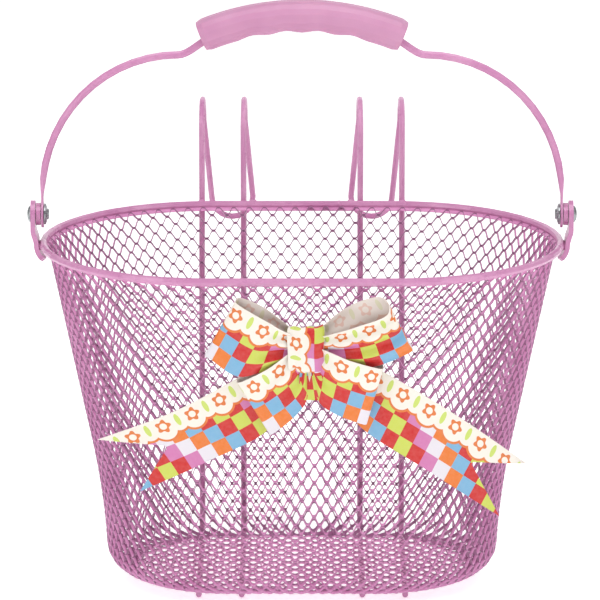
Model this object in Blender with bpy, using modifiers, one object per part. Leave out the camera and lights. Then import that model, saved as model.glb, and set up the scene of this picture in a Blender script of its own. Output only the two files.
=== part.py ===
"""Handlebar basket: a tapered expanded-metal basket with two double handlebar hooks, a swinging
carrying handle with a moulded grip, and a ribbon bow wired to its front.

Metres, +Z up. The front faces -Y and the hooks are at +Y. The basket stands on the runners of its
hook wires. The origin is on the ground under the middle of the whole object, and everything hangs
from the empty basket_frame, whose own origin is under the middle of the basket's mouth.
"""
import math

import bmesh
import bpy
from mathutils import Matrix, Vector

# Clearance kept between pieces that touch.
GAP = 0.0003

# Mouth: a stadium of two straight sides and two half circles.
RIM_HALF_WIDTH = 0.145
RIM_HALF_DEPTH = 0.095
RIM_WIRE_RADIUS = 0.0021
RIM_Z = 0.190
HALF_STRAIGHT = RIM_HALF_WIDTH - RIM_HALF_DEPTH

# Hook wires: runner under the floor, upright on the back, hook over the handlebar.
HOOK_WIRE_RADIUS = 0.0017
HOOK_OUTER_X = 0.057
HOOK_INNER_X = 0.0333
HOOK_GAP_RADIUS = 0.015
HOOK_TOP_Z = 0.247
HOOK_TIE_IN = 0.005
HOOK_BEND_Z = 0.187
RUNNER_FRONT_Y = -0.050
JOGGLE_TOP_Z = 0.184
JOGGLE_FOOT_Z = 0.164

# Expanded-metal wall and floor, as plain shells of the sheet's thickness over its strands.
SHEET = 0.0016
WALL_TOP_Z = 0.1875
END_SLOPE = 0.2118
FOOT_SLOPE = 0.060
KNEE_Z = 0.080
SIDE_TO_END = 0.70
FLARE = 0.0014
FLARE_HEIGHT = 0.006
CORNER_RADIUS = 0.016
FLOOR_UNDERSIDE = 2 * HOOK_WIRE_RADIUS + GAP
CORNER_Z = FLOOR_UNDERSIDE + CORNER_RADIUS

# Handle pivots, from the middle plane outwards.
PIVOT_Z = 0.206
PIVOT_HOLE_RADIUS = 0.0023
RIVET_SHANK_RADIUS = 0.0020
RIVET_HEAD_RADIUS = 0.0046
RIVET_HEAD_HEIGHT = 0.0018
RIVET_TAIL_RADIUS = 0.0032
RIVET_TAIL_HEIGHT = 0.0009
CAP_WASHER_RADIUS = 0.0058
CAP_WASHER_SHEET = 0.0007
CAP_WASHER_DISH = 0.0006
PADDLE_X = 0.1432
PADDLE_THICKNESS = 0.0014
PADDLE_RADIUS = 0.0075
SPACER_RADIUS = 0.0062
SPACER_THICKNESS = 0.0026
EAR_THICKNESS = 0.0026
EAR_RADIUS = 0.0075
EAR_TIP_Z = 0.1805

# Handle wire, with heights measured from the pivot axis.
BAIL_WIRE_RADIUS = 0.0021
NECK_HALF_WIDTH = 0.0042
FLAT_TOP = 0.009
ROUND_FROM = 0.024
SHOULDER_X = 0.068
SHOULDER_RISE = 0.011
SHOULDER_HEIGHT = 0.0785
GRIP_ENTRY_X = 0.050

# Grip, swept along an arc about a point on the middle plane.
GRIP_TOP_RADIUS = 0.150
GRIP_CENTRE = -0.030
GRIP_WIRE_RADIUS = 0.1385
GRIP_HALF_ANGLE = math.radians(23.0)
GRIP_HALF_DEPTH = 0.010
GRIP_HEIGHT = 0.0178
GROOVE_DEPTH = 0.0012
GROOVE_PITCH = 0.0205
GROOVE_REACH = 0.041
PEG_RADIUS = 0.0015
PEG_LENGTH = 0.0022
PEG_RISE = 0.0055
PEG_ANGLE = math.radians(12.0)

# Bow: ribbon layers counted outwards from the wall, in the bow's own leaning frame.
BOW_X = 0.0025
BOW_Z = 0.154
RIBBON_SHEET = 0.0012
WAIST_HALF_HEIGHT = 0.007
KNOT_MOUTH_X = 0.020
KNOT_HALF_WIDTH = 0.0110
KNOT_HALF_HEIGHT = 0.0150
KNOT_BACK = 0.0010
KNOT_FRONT = 0.0136
TAIL_LAYER = 0.0038
LOWER_LAYER = 0.0063
UPPER_LAYER = 0.0098
WAIST_DEPTH = 0.0022
TIE_WIRE_RADIUS = 0.0005
TIE_HALF_WIDTH = 0.0165
TIE_FRONT = 0.0024
TIE_HOLE_RADIUS = 0.0012

# The whole object reaches from the bow's loops to the back of the hooks.
BOW_REACH = -0.1056
HOOK_FRONT_Y = RIM_HALF_DEPTH + GAP + HOOK_WIRE_RADIUS
HOOK_REAR_Y = HOOK_FRONT_Y + 2 * HOOK_GAP_RADIUS
BASKET_Y = -(HOOK_REAR_Y + HOOK_WIRE_RADIUS + BOW_REACH) / 2

PINK = (0.66, 0.27, 0.50)
GRIP_PINK = (0.74, 0.36, 0.60)
STEEL = (0.55, 0.57, 0.57)


# ---------------------------------------------------------------- scene and materials

def clear_scene():
    for thing in list(bpy.data.objects):
        bpy.data.objects.remove(thing, do_unlink=True)


def new_collection(name):
    collection = bpy.data.collections.new(name)
    bpy.context.scene.collection.children.link(collection)
    return collection


def material(name, colour, roughness, metallic=0.0):
    result = bpy.data.materials.new(name)
    result.use_nodes = True
    shader = result.node_tree.nodes["Principled BSDF"]
    shader.inputs["Base Color"].default_value = (*colour, 1.0)
    shader.inputs["Roughness"].default_value = roughness
    shader.inputs["Metallic"].default_value = metallic
    result.diffuse_color = (*colour, 1.0)
    return result


def add_empty(name, location, parent=None, rotation=(0.0, 0.0, 0.0)):
    empty = bpy.data.objects.new(name, None)
    empty.empty_display_size = 0.02
    empty.location = location
    empty.rotation_euler = rotation
    empty.parent = parent
    PARTS.objects.link(empty)
    return empty


def add_part(name, data, finish, parent, location=(0.0, 0.0, 0.0), rotation=(0.0, 0.0, 0.0)):
    part = bpy.data.objects.new(name, data)
    part.location = location
    part.rotation_euler = rotation
    part.parent = parent
    data.materials.append(finish)
    PARTS.objects.link(part)
    return part


def add_cutter(name, mesh, parent, location=(0.0, 0.0, 0.0), rotation=(0.0, 0.0, 0.0)):
    cutter = bpy.data.objects.new(name, mesh)
    cutter.location = location
    cutter.rotation_euler = rotation
    cutter.parent = parent
    cutter.hide_render = True
    cutter.display_type = "WIRE"
    CUTTERS.objects.link(cutter)
    return cutter


def boolean(part, tool, operation="DIFFERENCE"):
    modifier = part.modifiers.new(tool.name, "BOOLEAN")
    modifier.operation = operation
    modifier.solver = "EXACT"
    modifier.object = tool


# ---------------------------------------------------------------- shape helpers

def finish_mesh(name, form, smooth_angle=40.0):
    bmesh.ops.recalc_face_normals(form, faces=form.faces)
    mesh = bpy.data.meshes.new(name)
    form.to_mesh(mesh)
    form.free()
    mesh.shade_smooth()
    mesh.set_sharp_from_angle(angle=math.radians(smooth_angle))
    return mesh


def cylinder_mesh(name, radius, length, segments=20):
    form = bmesh.new()
    bmesh.ops.create_cone(form, cap_ends=True, segments=segments, radius1=radius, radius2=radius, depth=length)
    return finish_mesh(name, form)


def box_mesh(name, size):
    form = bmesh.new()
    bmesh.ops.create_cube(form, size=1.0, matrix=Matrix.Diagonal((*size, 1.0)))
    return finish_mesh(name, form)


def wire(name, points, radius, finish, parent, cyclic=False, resolution=2):
    """A round wire along straight steps between close points."""
    curve = bpy.data.curves.new(name, "CURVE")
    curve.dimensions = "3D"
    curve.bevel_depth = radius
    curve.bevel_resolution = resolution
    curve.use_fill_caps = True
    spline = curve.splines.new("POLY")
    spline.points.add(len(points) - 1)
    for slot, point in zip(spline.points, points):
        slot.co = (*point, 1.0)
    spline.use_cyclic_u = cyclic
    spline.use_smooth = True
    return add_part(name, curve, finish, parent)


def turned(name, profile, finish, side, x, closed=False, steps=18):
    """A profile of (radius, height) turned about the pivot axis, its height running outwards."""
    mesh = bpy.data.meshes.new(name)
    edges = [(i, i + 1) for i in range(len(profile) - 1)]
    if closed:
        edges.append((len(profile) - 1, 0))
    mesh.from_pydata([(radius, 0.0, height) for radius, height in profile], edges, [])
    part = add_part(name, mesh, finish, BASKET, (side * x, 0.0, PIVOT_Z), (0.0, side * math.pi / 2, 0.0))
    screw = part.modifiers.new("turn", "SCREW")
    screw.steps = steps
    screw.render_steps = steps
    screw.use_merge_vertices = True
    screw.merge_threshold = 0.00001
    return part


def loft(name, rings):
    """A closed skin over rings of equally many points, with a flat face at each end."""
    form = bmesh.new()
    rows = [[form.verts.new(point) for point in ring] for ring in rings]
    count = len(rows[0])
    for low, high in zip(rows, rows[1:]):
        for i in range(count):
            j = (i + 1) % count
            form.faces.new((low[i], low[j], high[j], high[i]))
    form.faces.new(rows[0])
    form.faces.new(rows[-1])
    return finish_mesh(name, form)


def sheet(name, across, along, place, thickness, finish, parent):
    """A thin sheet: a grid whose point at (u, v), both from 0 to 1, goes to place(u, v)."""
    form = bmesh.new()
    bmesh.ops.create_grid(form, x_segments=across, y_segments=along, size=0.5)
    for vert in form.verts:
        vert.co = Vector(place(vert.co.x + 0.5, vert.co.y + 0.5))
    bmesh.ops.remove_doubles(form, verts=form.verts, dist=0.00001)
    part = add_part(name, finish_mesh(name, form), finish, parent)
    solidify = part.modifiers.new("thickness", "SOLIDIFY")
    solidify.thickness = thickness
    solidify.offset = 0.0
    return part


def arc(centre, radius, start, end, steps):
    """Points (across, up) on an arc, in degrees from the across direction."""
    angles = [math.radians(start + (end - start) * i / steps) for i in range(steps + 1)]
    return [(centre[0] + radius * math.cos(a), centre[1] + radius * math.sin(a)) for a in angles]


def stadium(half_straight, radius, steps=16):
    """Points (x, y) round a stadium, anticlockwise from the front of its right-hand end."""
    right = arc((half_straight, 0.0), radius, -90, 90, steps)
    left = arc((-half_straight, 0.0), radius, 90, 270, steps)
    return right + left


def ease(t):
    t = min(1.0, max(0.0, t))
    return t * t * (3.0 - 2.0 * t)


def blend(a, b, t):
    return a + (b - a) * t


# ---------------------------------------------------------------- basket body

def end_inset(z):
    """How far the wall's ends have come in from the mouth at height z."""
    below_knee = max(0.0, KNEE_Z - z)
    relief = (END_SLOPE - FOOT_SLOPE) * below_knee ** 2 / (2.0 * (KNEE_Z - CORNER_Z))
    return END_SLOPE * (RIM_Z - z) - relief


def wall_radius(z):
    """Radius of the wall's outer face at its ends, and its distance from the long axis at its sides."""
    flare = FLARE * max(0.0, 1.0 - (WALL_TOP_Z - z) / FLARE_HEIGHT) ** 2
    top = RIM_HALF_DEPTH - 2 * RIM_WIRE_RADIUS - GAP
    return top - SIDE_TO_END * end_inset(z) + flare


def wall_half_straight(z):
    return HALF_STRAIGHT - (1.0 - SIDE_TO_END) * end_inset(z)


def wall_rings():
    """Stadium outlines of the outer face, from the mouth down and in under the corner."""
    heights = [WALL_TOP_Z, WALL_TOP_Z - 0.003, WALL_TOP_Z - 0.006, 0.150, 0.115]
    heights += [blend(KNEE_Z, CORNER_Z, i / 5) for i in range(6)]
    rings = [(z, wall_half_straight(z), wall_radius(z)) for z in heights]
    for step in range(1, 6):
        turn = math.pi / 2 * step / 5
        inwards = CORNER_RADIUS * (1.0 - math.cos(turn))
        z = CORNER_Z - CORNER_RADIUS * math.sin(turn)
        rings.append((z, wall_half_straight(CORNER_Z), wall_radius(CORNER_Z) - inwards))
    return rings


def make_rim():
    outline = stadium(HALF_STRAIGHT, RIM_HALF_DEPTH - RIM_WIRE_RADIUS, steps=24)
    points = [(x, y, RIM_Z) for x, y in outline]
    wire("rim_ring", points, RIM_WIRE_RADIUS, material("pink_coat_rim", PINK, 0.35), BASKET, True)


def make_wall():
    form = bmesh.new()
    rows = []
    for z, half_straight, radius in wall_rings():
        rows.append([form.verts.new((x, y, z)) for x, y in stadium(half_straight, radius)])
    count = len(rows[0])
    for high, low in zip(rows, rows[1:]):
        for i in range(count):
            j = (i + 1) % count
            form.faces.new((low[i], low[j], high[j], high[i]))
    wall = add_part("mesh_wall", finish_mesh("mesh_wall", form), material("pink_coat_wall", PINK, 0.4), BASKET)
    solidify = wall.modifiers.new("sheet", "SOLIDIFY")
    solidify.thickness = SHEET
    solidify.offset = -1.0
    for side in (-1, 1):
        hole = cylinder_mesh("tie_hole", TIE_HOLE_RADIUS, 0.012, 12)
        place = (side * TIE_HALF_WIDTH, 0.0, 0.0)
        boolean(wall, add_cutter("tie_hole", hole, BOW, place, (math.pi / 2, 0.0, 0.0)))


def make_floor():
    radius = wall_radius(CORNER_Z) - CORNER_RADIUS - GAP
    form = bmesh.new()
    corners = [form.verts.new((x, y, FLOOR_UNDERSIDE)) for x, y in stadium(wall_half_straight(CORNER_Z), radius)]
    plate = form.faces.new(corners)
    raised = bmesh.ops.extrude_face_region(form, geom=[plate])["geom"]
    top = [item for item in raised if isinstance(item, bmesh.types.BMVert)]
    bmesh.ops.translate(form, verts=top, vec=(0.0, 0.0, SHEET))
    add_part("mesh_floor", finish_mesh("mesh_floor", form), material("pink_coat_floor", PINK, 0.4), BASKET)


# ---------------------------------------------------------------- hook wires

def upright_points():
    """(y, z) up one upright: runner end, bottom bend, along the wall, out past the rim."""
    stand_off = GAP + HOOK_WIRE_RADIUS
    bend_centre = (wall_radius(CORNER_Z) - CORNER_RADIUS, CORNER_Z)
    points = [(RUNNER_FRONT_Y, HOOK_WIRE_RADIUS), (0.0, HOOK_WIRE_RADIUS)]
    points += arc(bend_centre, CORNER_RADIUS + stand_off, -90, 0, 8)
    rise = [blend(CORNER_Z, JOGGLE_FOOT_Z, i / 10) for i in range(1, 11)]
    points += [(wall_radius(z) + stand_off, z) for z in rise]
    for step in range(1, 5):
        z = blend(JOGGLE_FOOT_Z, JOGGLE_TOP_Z, step / 4)
        foot = wall_radius(JOGGLE_FOOT_Z) + stand_off
        points.append((blend(foot, HOOK_FRONT_Y, ease(step / 4)), z))
    return points


def hook_points(leg_x, rear_x):
    """One leg from its runner's front end to the foot of its rear leg."""
    points = [(leg_x, y, z) for y, z in upright_points()]
    centre = (HOOK_FRONT_Y + HOOK_GAP_RADIUS, HOOK_TOP_Z - HOOK_GAP_RADIUS)
    crown = arc(centre, HOOK_GAP_RADIUS, 180, 0, 12)
    for step, (y, z) in enumerate(crown):
        share = 0.12 * step / len(crown)
        points.append((blend(leg_x, rear_x, share), y, z))
    for step in range(1, 5):
        z = blend(centre[1], HOOK_BEND_Z, step / 4)
        points.append((blend(leg_x, rear_x, 0.12 + 0.88 * step / 4), HOOK_REAR_Y, z))
    return points


def make_hooks():
    """Each hook wire runs up, over and down, round a bend behind the rim, and back the same way."""
    finish = material("pink_coat_hooks", PINK, 0.35)
    for side, name in ((-1, "hook_wire_left"), (1, "hook_wire_right")):
        outer = hook_points(side * HOOK_OUTER_X, side * (HOOK_OUTER_X - HOOK_TIE_IN))
        inner = hook_points(side * HOOK_INNER_X, side * (HOOK_INNER_X - HOOK_TIE_IN))
        middle = side * ((HOOK_OUTER_X + HOOK_INNER_X) / 2 - HOOK_TIE_IN)
        bend = arc((middle, HOOK_BEND_Z), (HOOK_OUTER_X - HOOK_INNER_X) / 2, 180, 360, 12)
        if side > 0:
            bend.reverse()
        turn = [(x, HOOK_REAR_Y, z) for x, z in bend[1:-1]]
        wire(name, outer + turn + inner[::-1], HOOK_WIRE_RADIUS, finish, BASKET)


# ---------------------------------------------------------------- handle pivots

EAR_X = PADDLE_X + PADDLE_THICKNESS / 2 + SPACER_THICKNESS + 2 * GAP + EAR_THICKNESS / 2


def ear_path(z):
    """Distance of the ear strip's middle from the middle plane at height z."""
    at_rim = RIM_HALF_WIDTH + GAP + EAR_THICKNESS / 2
    if z > RIM_Z:
        return blend(at_rim, EAR_X, ease((z - RIM_Z) / 0.008))
    return at_rim - 0.0042 * ((RIM_Z - z) / (RIM_Z - EAR_TIP_Z)) ** 2


def make_ear(side, name, finish):
    foot_radius = 0.005
    top = PIVOT_Z + EAR_RADIUS

    def place(u, v):
        z = blend(EAR_TIP_Z, top, v)
        half = EAR_RADIUS
        if z > PIVOT_Z:
            half = EAR_RADIUS * math.sqrt(max(0.02, 1.0 - ((z - PIVOT_Z) / EAR_RADIUS) ** 2))
        if z < EAR_TIP_Z + foot_radius:
            rise = EAR_TIP_Z + foot_radius - z
            half = EAR_RADIUS - foot_radius + math.sqrt(max(0.0, foot_radius ** 2 - rise ** 2))
        return (side * ear_path(z), half * (2.0 * u - 1.0), z)

    ear = sheet(name, 6, 26, place, EAR_THICKNESS, finish, BASKET)
    hole = cylinder_mesh(name + "_hole", PIVOT_HOLE_RADIUS, 0.01)
    place_hole = (side * EAR_X, 0.0, PIVOT_Z)
    boolean(ear, add_cutter(name + "_hole", hole, BASKET, place_hole, (0.0, math.pi / 2, 0.0)))


def rivet_profile(length):
    """Domed head, shank through the stack, and the spread tail: (radius, height) from the ear's face."""
    dome = arc((0.0, 0.0), 1.0, 90, 0, 8)
    head = [(RIVET_HEAD_RADIUS * x, GAP + RIVET_HEAD_HEIGHT * y) for x, y in dome]
    shank = [(RIVET_SHANK_RADIUS, GAP), (RIVET_SHANK_RADIUS, -length)]
    tail_foot = -length - RIVET_TAIL_HEIGHT
    tail = [
        (RIVET_TAIL_RADIUS, -length),
        (RIVET_TAIL_RADIUS * 0.8, tail_foot),
        (0.0, tail_foot),
    ]
    return head + shank + tail


def cap_washer_profile():
    """A dished ring whose outer edge bears on the handle end: (radius, height) from that edge."""
    inner, outer, mid = PIVOT_HOLE_RADIUS, CAP_WASHER_RADIUS, 0.0042
    return [
        (outer, 0.0),
        (outer, -CAP_WASHER_SHEET),
        (mid, -CAP_WASHER_SHEET - CAP_WASHER_DISH),
        (inner, -CAP_WASHER_SHEET - CAP_WASHER_DISH),
        (inner, -CAP_WASHER_DISH),
        (mid, -CAP_WASHER_DISH),
    ]


def spacer_profile():
    half = SPACER_THICKNESS / 2
    return [(SPACER_RADIUS, half), (SPACER_RADIUS, -half), (PIVOT_HOLE_RADIUS, -half), (PIVOT_HOLE_RADIUS, half)]


def make_pivots():
    pink = material("pink_coat_pivots", PINK, 0.35)
    steel = material("plated_steel", STEEL, 0.3, 1.0)
    ear_face = EAR_X + EAR_THICKNESS / 2
    washer_x = PADDLE_X - PADDLE_THICKNESS / 2 - GAP
    tail_x = washer_x - CAP_WASHER_SHEET - CAP_WASHER_DISH - GAP
    spacer_x = PADDLE_X + PADDLE_THICKNESS / 2 + GAP + SPACER_THICKNESS / 2
    for side, hand in ((-1, "left"), (1, "right")):
        make_ear(side, "pivot_ear_" + hand, pink)
        turned("rivet_" + hand, rivet_profile(ear_face - tail_x), steel, side, ear_face)
        turned("cap_washer_" + hand, cap_washer_profile(), steel, side, washer_x, closed=True)
        turned("spacer_washer_" + hand, spacer_profile(), pink, side, spacer_x, closed=True)


# ---------------------------------------------------------------- handle

def bail_half():
    """(x, height above the pivot) along the right half of the handle, from its end to the middle."""
    points = [(PADDLE_X, -PADDLE_RADIUS * math.cos(math.radians(a))) for a in (12, 28, 44, 60, 76)]
    points += [(PADDLE_X, PADDLE_RADIUS * math.sin(math.radians(a))) for a in (3, 18, 36, 54, 76)]
    points.append((PADDLE_X, FLAT_TOP))
    for step in range(0, 15):
        turn = math.pi / 2 * step / 14
        x = SHOULDER_X + (PADDLE_X - SHOULDER_X) * math.cos(turn)
        points.append((x, SHOULDER_RISE + SHOULDER_HEIGHT * math.sin(turn)))
    start = Vector((SHOULDER_X, SHOULDER_RISE + SHOULDER_HEIGHT))
    entry_height = GRIP_CENTRE + math.sqrt(GRIP_WIRE_RADIUS ** 2 - GRIP_ENTRY_X ** 2)
    end = Vector((GRIP_ENTRY_X, entry_height))
    reach = start.x - end.x
    end_slope = reach * Vector((-1.0, GRIP_ENTRY_X / (entry_height - GRIP_CENTRE)))
    for step in range(1, 8):
        t = step / 8
        point = start * (2 * t ** 3 - 3 * t ** 2 + 1) + end * (3 * t ** 2 - 2 * t ** 3)
        point += Vector((-reach, 0.0)) * (t ** 3 - 2 * t ** 2 + t) + end_slope * (t ** 3 - t ** 2)
        points.append(tuple(point))
    entry_angle = math.degrees(math.acos(GRIP_ENTRY_X / GRIP_WIRE_RADIUS))
    points += arc((0.0, GRIP_CENTRE), GRIP_WIRE_RADIUS, entry_angle, 90, 8)
    return points


def bail_section(height):
    """Half sizes (in the handle's plane, across it) and squareness of the wire's section."""
    roundness = ease((height - FLAT_TOP) / (ROUND_FROM - FLAT_TOP))
    thin = blend(PADDLE_THICKNESS / 2, BAIL_WIRE_RADIUS, roundness)
    wide = blend(NECK_HALF_WIDTH, BAIL_WIRE_RADIUS, roundness)
    if height < PADDLE_RADIUS:
        disc = math.sqrt(PADDLE_RADIUS ** 2 - height ** 2)
        wide = disc if height < 0.0 else max(wide, disc)
    return thin, wide, blend(7.0, 2.0, roundness)


def oval(thin, wide, squareness, count):
    power = 2.0 / squareness
    points = []
    for i in range(count):
        turn = 2 * math.pi * (i + 0.5) / count
        c, s = math.cos(turn), math.sin(turn)
        points.append((math.copysign(abs(c) ** power, c) * thin, math.copysign(abs(s) ** power, s) * wide))
    return points


def swept(name, path, section_at, count):
    """Sections set square to a path of (x, height) in the handle's plane."""
    rings = []
    for i, (x, height) in enumerate(path):
        before = path[max(i - 1, 0)]
        after = path[min(i + 1, len(path) - 1)]
        along = Vector((after[0] - before[0], after[1] - before[1])).normalized()
        thin, wide, squareness = section_at(x, height)
        ring = [(x + along.y * p, q, height - along.x * p) for p, q in oval(thin, wide, squareness, count)]
        rings.append(ring)
    return loft(name, rings)


def make_bail():
    half = bail_half()
    path = half + [(-x, height) for x, height in half[-2::-1]]
    mesh = swept("bail_wire", path, lambda x, height: bail_section(height), 10)
    bail = add_part("bail_wire", mesh, material("pink_coat_bail", PINK, 0.35), HANDLE)
    for side in (-1, 1):
        hole = cylinder_mesh("bail_hole", PIVOT_HOLE_RADIUS, 0.01)
        place = (side * PADDLE_X, 0.0, 0.0)
        boolean(bail, add_cutter("bail_hole", hole, HANDLE, place, (0.0, math.pi / 2, 0.0)))
    return path


def grip_rings(stations=36, count=16):
    """Sections of the whole grip: smooth on top, finger grooves underneath, rounded at its ends."""
    rings = []
    for i in range(stations + 1):
        t = 2.0 * i / stations - 1.0
        angle = t * GRIP_HALF_ANGLE
        distance = GRIP_TOP_RADIUS * math.sin(abs(angle))
        groove = 0.0
        if distance < GROOVE_REACH:
            groove = GROOVE_DEPTH * (1.0 - math.cos(2 * math.pi * distance / GROOVE_PITCH)) / 2
        height = GRIP_HEIGHT - groove
        trim = 1.0 - 0.10 * ease((abs(t) - 0.94) / 0.06)
        middle = GRIP_TOP_RADIUS - GRIP_HEIGHT / 2 + groove / 2
        ring = []
        for p, q in oval(height / 2 * trim, GRIP_HALF_DEPTH * trim, 2.5, count):
            radius = middle + p
            ring.append((radius * math.sin(angle), q, GRIP_CENTRE + radius * math.cos(angle)))
        rings.append(ring)
    return rings


def make_grip(bail_path):
    """Two halves split on the handle's plane, hollowed for the wire, with pegs that locate them."""
    inside = [point for point in bail_path if abs(point[0]) < 0.070]
    channel_radius = BAIL_WIRE_RADIUS + GAP
    channel_mesh = swept("wire_channel", inside, lambda x, height: (channel_radius, channel_radius, 2.0), 12)
    channel = add_cutter("wire_channel", channel_mesh, HANDLE)
    finish = material("grip_plastic", GRIP_PINK, 0.45)
    for side, name in ((-1, "grip_front_shell"), (1, "grip_back_shell")):
        shell = add_part(name, loft(name, grip_rings()), finish, HANDLE)
        depth = 0.04
        block = box_mesh(name + "_split", (0.2, depth, 0.1))
        place = (0.0, -side * (depth / 2 - GAP / 2), 0.1)
        boolean(shell, add_cutter(name + "_split", block, HANDLE, place))
        boolean(shell, channel)
        for lean in (-1, 1):
            radius = GRIP_WIRE_RADIUS + PEG_RISE
            x = lean * radius * math.sin(PEG_ANGLE)
            z = GRIP_CENTRE + radius * math.cos(PEG_ANGLE)
            if side < 0:
                peg = cylinder_mesh("locating_peg", PEG_RADIUS, 2 * PEG_LENGTH, 12)
                boolean(shell, add_cutter("locating_peg", peg, HANDLE, (x, 0.0, z), (math.pi / 2, 0.0, 0.0)), "UNION")
            else:
                socket = cylinder_mesh("peg_socket", PEG_RADIUS + GAP, 2 * (PEG_LENGTH + GAP), 12)
                boolean(shell, add_cutter("peg_socket", socket, HANDLE, (x, 0.0, z), (math.pi / 2, 0.0, 0.0)))


# ---------------------------------------------------------------- bow

def loop_mesh(name, waist_z, left_fold, right_fold, layer, depth):
    """A pair of puffed loops: sections from one outer fold through the waist to the other."""
    rings = []
    reach = (1.0, 0.94, 0.84, 0.72, 0.60, 0.48, 0.36, 0.20)
    for side, fold, shares in ((-1, left_fold, reach), (1, right_fold, (0.0,) + reach[::-1])):
        low, high = Vector(fold[0]), Vector(fold[1])
        waist = Vector((0.0, waist_z))
        mouth = Vector((side * KNOT_MOUTH_X, waist_z))
        for share in shares:
            centre = waist.lerp(mouth, share).lerp(mouth.lerp((low + high) / 2, share), share)
            opened = max(0.0, (share - 0.30) / 0.70)
            spread = Vector((0.0, 2 * WAIST_HALF_HEIGHT)).lerp(high - low, ease(opened / 0.85))
            thick = WAIST_DEPTH + (depth - WAIST_DEPTH) * math.sin(math.pi * opened ** 0.8)
            out = layer + (thick - WAIST_DEPTH) / 2
            ring = []
            for p, q in oval(thick / 2, 0.5, 2.6, 12):
                ring.append((centre.x + spread.x * q, -(out + p), centre.y + spread.y * q))
            rings.append(ring)
    return loft(name, rings)


def make_loops():
    upper = material("ribbon_upper", (0.86, 0.42, 0.25), 0.35)
    lower = material("ribbon_lower", (0.85, 0.55, 0.35), 0.35)
    high_folds = ((-0.0507, -0.0020), (-0.0359, 0.0287)), ((0.0560, -0.0010), (0.0450, 0.0300))
    low_folds = ((-0.0177, -0.0485), (-0.0349, -0.0177)), ((0.0311, -0.0433), (0.0418, -0.0120))
    upper_mesh = loop_mesh("bow_upper_loops", 0.0025, *high_folds, UPPER_LAYER, 0.0105)
    add_part("bow_upper_loops", upper_mesh, upper, BOW)
    lower_mesh = loop_mesh("bow_lower_loops", -0.0025, *low_folds, LOWER_LAYER, 0.0044)
    add_part("bow_lower_loops", lower_mesh, lower, BOW)


def wall_recession(x):
    """How far the wall has curved back behind the bow's flat plane at a distance x from its middle."""
    radius = wall_radius(0.100)
    beyond = max(0.0, abs(x) - wall_half_straight(0.100))
    return radius - math.sqrt(max(radius ** 2 - beyond ** 2, 0.0))


def make_tails():
    """One strip through the knot: gathered in the middle, and notched where it ends in two tails."""
    left_low, left_high = Vector((-0.0896, -0.0868)), Vector((-0.1089, -0.0578))
    right_low, right_high = Vector((0.1057, -0.0984)), Vector((0.1207, -0.0676))
    notch = 0.030

    def place(u, v):
        share = abs(2.0 * v - 1.0)
        low, high = (left_low, left_high) if v < 0.5 else (right_low, right_high)
        waist = Vector((0.0, -0.001))
        mouth = Vector((math.copysign(KNOT_MOUTH_X, low.x), -0.001))
        spread = Vector((0.0, 2 * WAIST_HALF_HEIGHT)).lerp(high - low, ease((share - 0.14) / 0.40))
        middle = waist.lerp(mouth, share).lerp(mouth.lerp((low + high) / 2, share), share)
        outwards = (low + high).normalized()
        cut = notch * (1.0 - abs(2.0 * u - 1.0)) * ease((share - 0.8) / 0.2)
        point = middle + spread * (u - 0.5) - outwards * cut
        return (point.x, 0.5 * wall_recession(point.x) - TAIL_LAYER, point.y)

    finish = material("ribbon_tails", (0.83, 0.50, 0.40), 0.35)
    sheet("bow_tails", 6, 36, place, RIBBON_SHEET, finish, BOW)


def make_knot():
    """A short band wrapped round the waists of the loops and tails."""
    middle = -(KNOT_FRONT + KNOT_BACK) / 2
    half_depth = (KNOT_FRONT - KNOT_BACK) / 2

    def place(u, v):
        turn = 2 * math.pi * v
        c, s = math.cos(turn), math.sin(turn)
        y = middle - math.copysign(abs(c) ** 0.45, c) * half_depth
        z = math.copysign(abs(s) ** 0.45, s) * KNOT_HALF_HEIGHT
        return (KNOT_HALF_WIDTH * (2.0 * u - 1.0), y, z)

    finish = material("ribbon_knot", (0.88, 0.60, 0.45), 0.35)
    sheet("bow_knot_band", 2, 36, place, 0.0010, finish, BOW)


def make_tie():
    """A closed wire through the knot and through the wall either side of it."""
    inside = SHEET + GAP + 2 * TIE_WIRE_RADIUS
    half_depth = (TIE_FRONT + inside) / 2
    middle = inside - half_depth
    points = []
    for i in range(24):
        turn = 2 * math.pi * i / 24
        c, s = math.cos(turn), math.sin(turn)
        x = math.copysign(abs(c) ** 0.30, c) * TIE_HALF_WIDTH
        points.append((x, middle + math.copysign(abs(s) ** 0.30, s) * half_depth, 0.0))
    wire("bow_tie_wire", points, TIE_WIRE_RADIUS, material("tie_white", (0.8, 0.8, 0.8), 0.5), BOW, True)


# ---------------------------------------------------------------- assembly

clear_scene()
PARTS = new_collection("handlebar_basket")
CUTTERS = new_collection("cutters")
BASKET = add_empty("basket_frame", (0.0, BASKET_Y, 0.0))
HANDLE = add_empty("handle_pivot", (0.0, 0.0, PIVOT_Z), BASKET)
BOW_LEAN = math.atan(SIDE_TO_END * END_SLOPE)
BOW = add_empty("bow_frame", (BOW_X, -wall_radius(BOW_Z), BOW_Z), BASKET, (BOW_LEAN, 0.0, 0.0))

make_rim()
make_wall()
make_floor()
make_hooks()
make_pivots()
make_grip(make_bail())
make_loops()
make_tails()
make_knot()
make_tie()
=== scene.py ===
"""Looks of the handlebar basket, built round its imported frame: expanded-metal wall and floor, ribbon
bow, weld beads and every finish.

Metres, +Z up, in the frame's own place. The front faces -Y. Heights and outlines come from the boxes of
the frame's nodes, and the named sizes below are those that the boxes don't give.
"""

import math

import bmesh
import bpy
import numpy as np
from mathutils import Matrix, Vector, noise


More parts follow.
